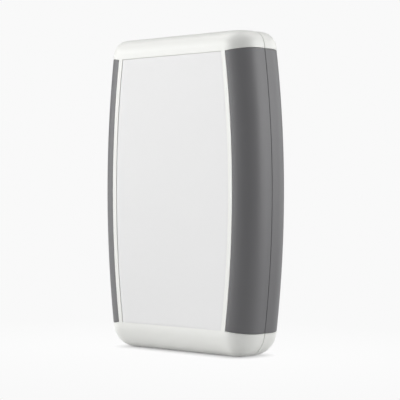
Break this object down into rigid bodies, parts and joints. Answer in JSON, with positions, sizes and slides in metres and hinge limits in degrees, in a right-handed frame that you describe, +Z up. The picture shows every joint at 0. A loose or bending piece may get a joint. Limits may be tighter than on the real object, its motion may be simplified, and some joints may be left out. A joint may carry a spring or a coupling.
{
  "type": "usb wireless dongle",
  "caption": "Upright hand-held wireless adapter housing with bowed sides, inlaid soft side grips, a recessed plain front panel and a square USB socket in its top end.",
  "frame": {"origin": "middle of the flat base end, on the plane where the two shells part", "axes": "+Z up from the base to the socket end, -Y out of the front face, +X to the right as the front is seen"},
  "size_m": [0.079, 0.0242, 0.118],
  "materials": {
    "shell_white": "fine moulded texture, satin",
    "grip_grey": "soft-touch elastomer, matte",
    "label_grey": "plain membrane, matte",
    "screw_steel": "zinc plated",
    "board_laminate": "green solder mask over glass laminate",
    "socket_steel": "nickel plated sheet",
    "insulator_black": "moulded engineering plastic",
    "contact_gold": "gold flashed",
    "module_laminate": "dark solder mask",
    "can_tin": "tin plated drawn can",
    "package_black": "moulded epoxy, matte",
    "crystal_can": "drawn metal can",
    "capacitor_can": "drawn aluminium can",
    "ceramic_tan": "fired ceramic",
    "resistor_black": "glazed film",
    "ferrite_grey": "sintered ferrite",
    "antenna_tin": "tin plated sheet"
  },
  "bodies": {
    "root": {"front_shell": "shell_white", "rear_shell": "shell_white", "grip_front_left": "grip_grey", "grip_front_right": "grip_grey", "grip_rear_left": "grip_grey", "grip_rear_right": "grip_grey", "label_panel": "label_grey", "case_screws": "screw_steel", "circuit_board": "board_laminate", "board_screws": "screw_steel", "usb_socket_shell": "socket_steel", "usb_socket_insulator": "insulator_black", "usb_contacts": "contact_gold", "radio_module_board": "module_laminate", "radio_shield_can": "can_tin", "antenna": "antenna_tin", "controller_chip": "package_black", "memory_chip": "package_black", "voltage_regulator": "package_black", "crystal": "crystal_can", "electrolytic_capacitors": "capacitor_can", "ceramic_capacitors": "ceramic_tan", "resistors": "resistor_black", "power_inductor": "ferrite_grey", "programming_pins": "contact_gold"}
  },
  "joints": []
}
